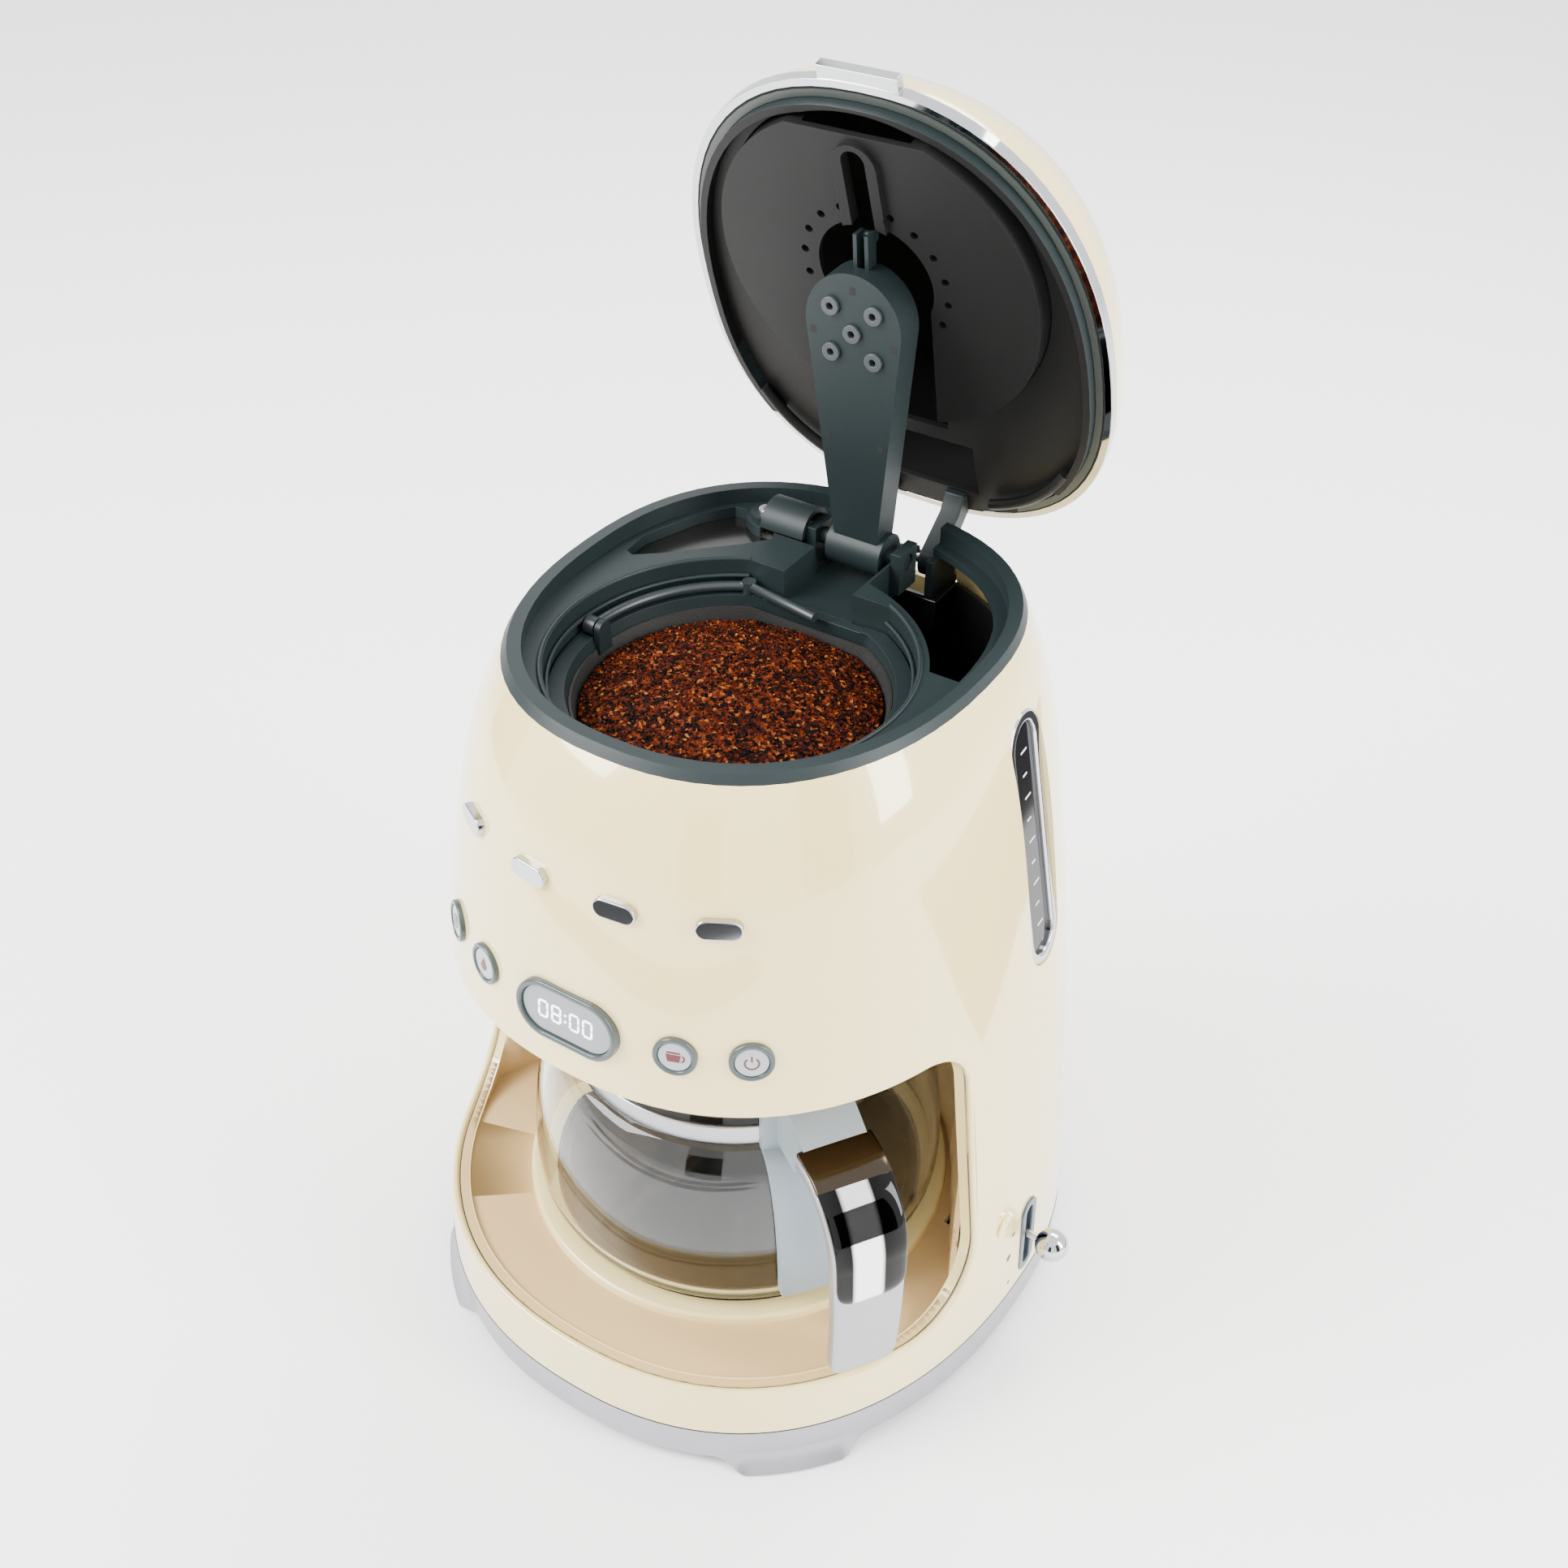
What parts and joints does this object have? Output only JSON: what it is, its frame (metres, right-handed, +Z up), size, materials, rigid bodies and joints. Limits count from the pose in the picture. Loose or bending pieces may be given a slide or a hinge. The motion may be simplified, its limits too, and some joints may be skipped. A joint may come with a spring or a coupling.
{
  "type": "drip coffee maker",
  "caption": "Domed drip coffee maker with a tilting lid, swinging spray arm, lift-out filter, drip stop, glass carafe in a front bay, push buttons and a side lever.",
  "frame": {"origin": "on the table, on the vertical line through the middle of the body's width that the carafe and filter stand 26 mm in front of", "axes": "+Z up, the front with the carafe bay faces -Y, +X on the side with the water window and the lever"},
  "size_m": [0.2617, 0.2882, 0.4569],
  "materials": {
    "shell_paint": "gloss",
    "bay_plastic": "satin",
    "satin_silver": "satin",
    "dark_plastic": "satin",
    "charcoal": "matte",
    "rubber_black": "matte",
    "seal_grey": "matte",
    "screw_steel": "plated",
    "plate_steel": "brushed",
    "heater_alu": "cast",
    "ceramic": "matte",
    "silicone": "matte",
    "valve_orange": "gloss",
    "board_green": "gloss",
    "tank_plastic": "smoky",
    "window_clear": "smoky clear",
    "chrome": "polished",
    "bezel_teal": "gloss",
    "button_grey": "satin",
    "display_grey": "gloss",
    "lid_cream": "gloss",
    "steel_band": "brushed",
    "grey_blue": "satin",
    "glass_clear": "clear",
    "mesh_beige": "woven",
    "coffee": "granular"
  },
  "bodies": {
    "housing": {"housing_shell": "shell_paint", "bay_liner": "bay_plastic", "bay_gasket": "seal_grey", "foot_skirt": "satin_silver", "bottom_cover": "charcoal", "rubber_feet": "rubber_black", "cover_screws": "screw_steel", "hotplate": "plate_steel", "heater_element": "heater_alu", "thermostat": "charcoal", "thermal_fuse": "ceramic", "water_hose": "silicone", "riser_tube": "silicone", "check_valve": "valve_orange", "control_board": "board_green", "display_panel": "board_green", "top_deck": "dark_plastic", "water_tank": "tank_plastic", "tank_valve": "silicone", "window_frame": "chrome", "window_lens": "window_clear", "display_bezel": "bezel_teal", "display_lens": "display_grey", "button_bezels": "bezel_teal", "front_badges": "chrome", "lever_plate": "grey_blue", "cord_inlet": "rubber_black", "hinge_bracket": "dark_plastic", "hinge_cover": "dark_plastic", "hinge_screws": "screw_steel", "hinge_pin": "screw_steel"},
    "lid": {"lid_dome": "lid_cream", "lid_band": "chrome", "lid_liner": "dark_plastic", "lid_plate": "charcoal", "lid_gasket": "seal_grey", "lid_hinge_arms": "dark_plastic"},
    "spray_arm": {"shower_arm": "dark_plastic", "spray_nozzles": "charcoal", "arm_fork": "dark_plastic"},
    "filter": {"filter_holder": "dark_plastic", "filter_mesh": "mesh_beige", "coffee_grounds": "coffee", "drip_spring": "screw_steel"},
    "bail": {"bail_handle": "dark_plastic"},
    "drip_stop": {"drip_valve": "silicone"},
    "carafe": {"carafe_glass": "glass_clear", "carafe_band": "steel_band", "carafe_lid": "grey_blue", "handle_bracket": "grey_blue", "handle_grip": "satin_silver", "handle_insert": "chrome"},
    "clock_key": {"clock_button": "button_grey"},
    "aroma_key": {"aroma_button": "button_grey"},
    "timer_key": {"timer_button": "button_grey"},
    "power_key": {"power_button": "button_grey"},
    "lever": {"lever_stem": "screw_steel", "lever_ball": "chrome"}
  },
  "joints": [
    {"name": "lid_hinge", "type": "hinge", "parent": "housing", "child": "lid", "pos_m": [0, 0.0859, 0.2758], "axis": [-1, 0, 0], "range_deg": [-70, 0]},
    {"name": "arm_hinge", "type": "hinge", "parent": "housing", "child": "spray_arm", "pos_m": [0, 0.0585, 0.29], "axis": [-1, 0, 0], "range_deg": [-85.8, 0.1]},
    {"name": "filter_lift", "type": "slide", "parent": "housing", "child": "filter", "axis": [0, 0, 1], "range_m": [0, 0.15]},
    {"name": "bail_hinge", "type": "hinge", "parent": "filter", "child": "bail", "pos_m": [0, -0.026, 0.2822], "axis": [1, 0, 0], "range_deg": [0, 100]},
    {"name": "valve_lift", "type": "slide", "parent": "filter", "child": "drip_stop", "axis": [0, 0, 1], "range_m": [0, 0.004], "stiffness_N_per_m": 100, "springref_m": -0.01, "deforming": ["drip_spring"]},
    {"name": "carafe_slide", "type": "slide", "parent": "housing", "child": "carafe", "axis": [0, -1, 0], "range_m": [0, 0.2]},
    {"name": "timer_press", "type": "slide", "parent": "housing", "child": "timer_key", "axis": [-0.3323, 0.9359, -0.1167], "range_m": [0, 0.0015], "stiffness_N_per_m": 600},
    {"name": "power_press", "type": "slide", "parent": "housing", "child": "power_key", "axis": [-0.5749, 0.8099, -0.1167], "range_m": [0, 0.0015], "stiffness_N_per_m": 600},
    {"name": "aroma_press", "type": "slide", "parent": "housing", "child": "aroma_key", "axis": [0.3323, 0.9359, -0.1167], "range_m": [0, 0.0015], "stiffness_N_per_m": 600},
    {"name": "clock_press", "type": "slide", "parent": "housing", "child": "clock_key", "axis": [0.5749, 0.8099, -0.1167], "range_m": [0, 0.0015], "stiffness_N_per_m": 600},
    {"name": "lever_hinge", "type": "hinge", "parent": "housing", "child": "lever", "pos_m": [0.096, -0.0015, 0.0475], "axis": [0, -1, 0], "range_deg": [-20, 20]}
  ],
  "couplings": [
    {"joint": "arm_hinge", "follows": "lid_hinge", "ratio": 1.2243}
  ]
}
